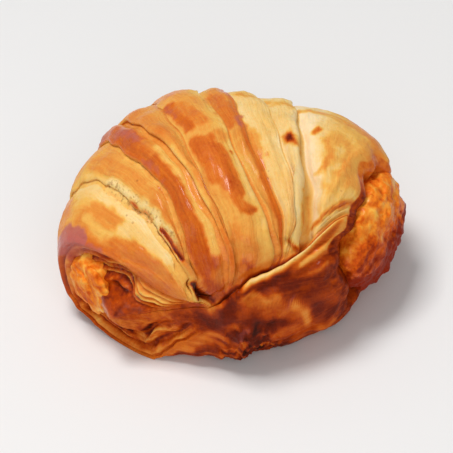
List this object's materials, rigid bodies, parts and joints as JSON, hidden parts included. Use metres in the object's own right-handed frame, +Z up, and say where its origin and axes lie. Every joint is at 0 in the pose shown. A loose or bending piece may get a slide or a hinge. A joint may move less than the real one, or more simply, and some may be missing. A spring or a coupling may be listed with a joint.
{
  "type": "croissant",
  "caption": "Small filled croissant: a plump crescent of rolled, layered dough with overlapping wraps, a flat base and soft filling showing at both ends.",
  "frame": {"origin": "on the resting surface, under the middle of the bounding box", "axes": "+X along the croissant from its narrow end to its wide end, +Y to its rounded back, +Z up"},
  "size_m": [0.1136, 0.094, 0.0646],
  "materials": {
    "crust": null,
    "filling": null
  },
  "bodies": {
    "root": {"pastry": "crust", "filling": "filling"}
  },
  "joints": []
}
